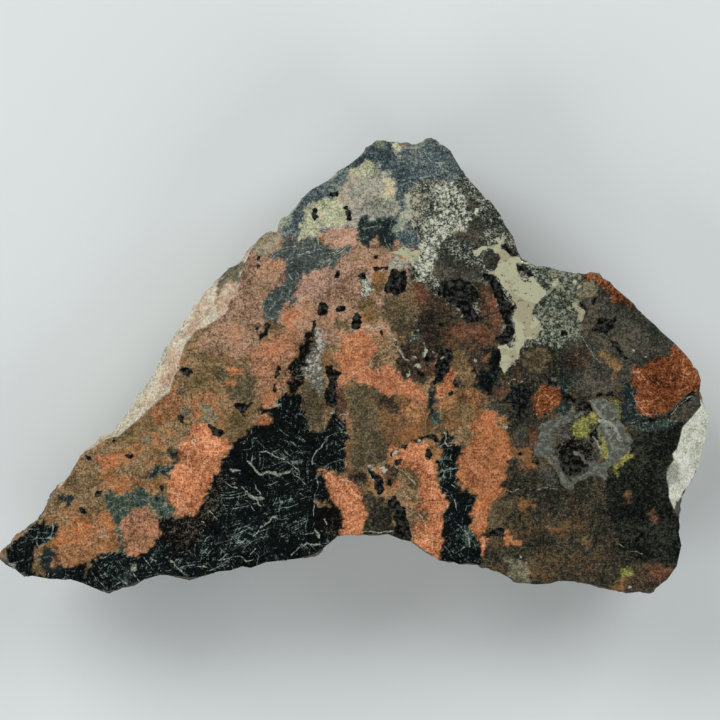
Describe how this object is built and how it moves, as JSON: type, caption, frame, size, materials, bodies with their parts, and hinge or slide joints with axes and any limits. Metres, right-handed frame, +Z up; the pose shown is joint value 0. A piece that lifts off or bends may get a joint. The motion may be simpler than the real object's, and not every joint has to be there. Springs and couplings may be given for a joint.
{
  "type": "skarn",
  "caption": "Skarn hand specimen: one irregular stone with a sawn, polished face on top, broken sides and a flat joint plane to lie on.",
  "frame": {"origin": "under the middle of the stone's bounding box, on the surface that it lies on", "axes": "+Z up, out of the sawn face; +X along the longest side, from the narrow tip to the broad end; +Y towards the blunt apex"},
  "size_m": [0.1512, 0.097, 0.027],
  "materials": {
    "skarn": "sawn face polished and mottled brown, orange, olive and black; broken sides matt, with cream calcite"
  },
  "bodies": {
    "root": {"skarn_stone": "skarn"}
  },
  "joints": []
}
